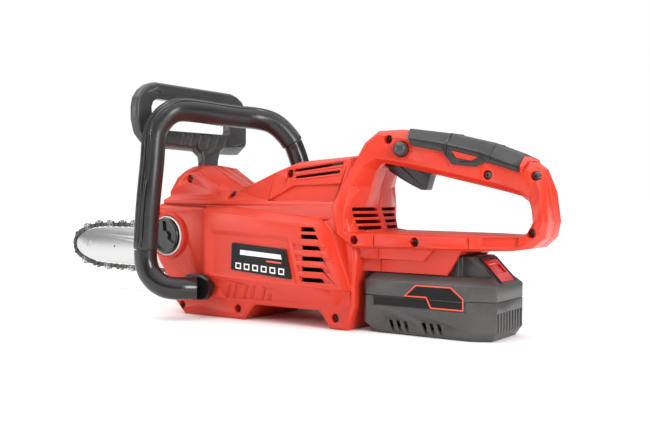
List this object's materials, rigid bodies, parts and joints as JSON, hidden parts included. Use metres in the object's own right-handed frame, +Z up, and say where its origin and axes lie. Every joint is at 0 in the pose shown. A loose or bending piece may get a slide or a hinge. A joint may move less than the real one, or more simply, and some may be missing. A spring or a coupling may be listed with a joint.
{
  "type": "cordless chainsaw",
  "caption": "Battery chainsaw with a looped rear handle, bent front tube handle, slotted hand guard, straight guide bar and slide-on battery.",
  "frame": {"origin": "centre of the saw's box on the surface it stands on", "axes": "+X to the rear handle, -X along the guide bar, +Y to the bar side, +Z up"},
  "size_m": [0.6352, 0.2131, 0.2238],
  "materials": {
    "red_plastic": "satin moulded",
    "black_plastic": "fine moulded texture",
    "soft_black": "soft matt",
    "battery_plastic": "coarse moulded texture",
    "white_plastic": "translucent moulded",
    "steel": "turned",
    "bar_steel": "ground",
    "dark_steel": "oiled",
    "aluminium": "cast",
    "cells": "can",
    "copper": "wound",
    "board_green": "coated board"
  },
  "bodies": {
    "saw": {"left_housing_shell": "red_plastic", "right_housing_shell": "red_plastic", "housing_screw_01": "dark_steel", "housing_screw_02": "dark_steel", "housing_screw_03": "dark_steel", "housing_screw_04": "dark_steel", "housing_screw_05": "dark_steel", "housing_screw_06": "dark_steel", "housing_screw_07": "dark_steel", "housing_screw_08": "dark_steel", "housing_screw_09": "dark_steel", "housing_screw_10": "dark_steel", "housing_screw_11": "dark_steel", "housing_screw_12": "dark_steel", "front_handle_tube": "black_plastic", "front_handle_grip": "soft_black", "handle_screw_left": "dark_steel", "handle_screw_right": "dark_steel", "guard_pivot_pin": "steel", "oil_tank": "white_plastic", "oil_hose": "soft_black", "oil_pump": "dark_steel", "saw_chain": "dark_steel", "motor_can": "dark_steel", "gearbox_frame": "aluminium", "motor_bearing": "steel", "spindle_bearing_inner": "steel", "spindle_bearing_outer": "steel", "bar_mount_plate": "steel", "brake_band": "steel", "sprocket_cover": "black_plastic", "chain_catcher": "aluminium", "rear_grip": "soft_black", "grip_inlay": "red_plastic", "trigger_pin": "steel", "trigger_spring": "steel", "switch_module": "black_plastic", "label_plate": "black_plastic", "control_board": "board_green", "battery_terminal_block": "black_plastic"},
    "trigger": {"trigger": "black_plastic"},
    "lock_off_button": {"lock_off_button": "black_plastic"},
    "hand_guard": {"hand_guard": "black_plastic"},
    "oil_cap": {"oil_cap": "black_plastic"},
    "cover_knob": {"cover_knob": "black_plastic"},
    "tension_dial": {"tension_dial": "black_plastic"},
    "bar": {"guide_bar": "bar_steel", "tension_pin": "dark_steel"},
    "nose_sprocket": {"nose_sprocket": "dark_steel"},
    "spindle": {"spindle": "steel", "large_gear": "steel", "drive_sprocket": "dark_steel", "brake_drum": "steel"},
    "rotor": {"pinion_shaft": "steel", "armature": "copper", "motor_fan": "black_plastic"},
    "battery": {"battery_lower_case": "battery_plastic", "battery_upper_case": "battery_plastic", "cell_pack": "cells"},
    "battery_release_button": {"battery_release_button": "red_plastic"}
  },
  "joints": [
    {"name": "trigger_press", "type": "hinge", "parent": "saw", "child": "trigger", "pos_m": [0.177, 0, 0.1465], "axis": [0, -1, 0], "range_deg": [0, 8], "stiffness_Nm_per_rad": 0.6, "springref_deg": -11.46},
    {"name": "lock_off_press", "type": "slide", "parent": "saw", "child": "lock_off_button", "axis": [0, 1, 0], "range_m": [0, 0.004], "stiffness_N_per_m": 300, "springref_m": -0.002},
    {"name": "guard_tilt", "type": "hinge", "parent": "saw", "child": "hand_guard", "pos_m": [-0.05, 0.005, 0.118], "axis": [0, -1, 0], "range_deg": [0, 10]},
    {"name": "oil_cap_turn", "type": "hinge", "parent": "saw", "child": "oil_cap", "pos_m": [-0.0475, -0.0555, 0.076], "axis": [0, -1, 0], "range_deg": [0, 90]},
    {"name": "cover_knob_turn", "type": "hinge", "parent": "saw", "child": "cover_knob", "pos_m": [-0.006, 0.086, 0.055], "axis": [0, 1, 0], "continuous": true},
    {"name": "bar_tension", "type": "slide", "parent": "saw", "child": "bar", "axis": [1, 0, 0], "range_m": [0, 0.005]},
    {"name": "tension_dial_turn", "type": "hinge", "parent": "saw", "child": "tension_dial", "pos_m": [-0.006, 0.086, 0.055], "axis": [0, 1, 0], "range_deg": [0, 90]},
    {"name": "spindle_spin", "type": "hinge", "parent": "saw", "child": "spindle", "pos_m": [0.04, 0, 0.055], "axis": [0, 1, 0], "continuous": true},
    {"name": "motor_spin", "type": "hinge", "parent": "saw", "child": "rotor", "pos_m": [0.07375, 0, 0.055], "axis": [0, 1, 0], "continuous": true},
    {"name": "nose_sprocket_spin", "type": "hinge", "parent": "bar", "child": "nose_sprocket", "pos_m": [-0.29, 0.05325, 0.055], "axis": [0, 1, 0], "continuous": true},
    {"name": "battery_slide", "type": "slide", "parent": "saw", "child": "battery", "axis": [1, 0, 0], "range_m": [0, 0.13]},
    {"name": "battery_release_press", "type": "slide", "parent": "battery", "child": "battery_release_button", "axis": [-0.7154, 0, -0.6987], "range_m": [0, 0.003], "stiffness_N_per_m": 400, "springref_m": -0.002}
  ],
  "couplings": [
    {"joint": "tension_dial_turn", "follows": "bar_tension", "rad_per_m": 313.85},
    {"joint": "motor_spin", "follows": "spindle_spin", "ratio": -2.75},
    {"joint": "nose_sprocket_spin", "follows": "spindle_spin", "ratio": 0.875}
  ]
}
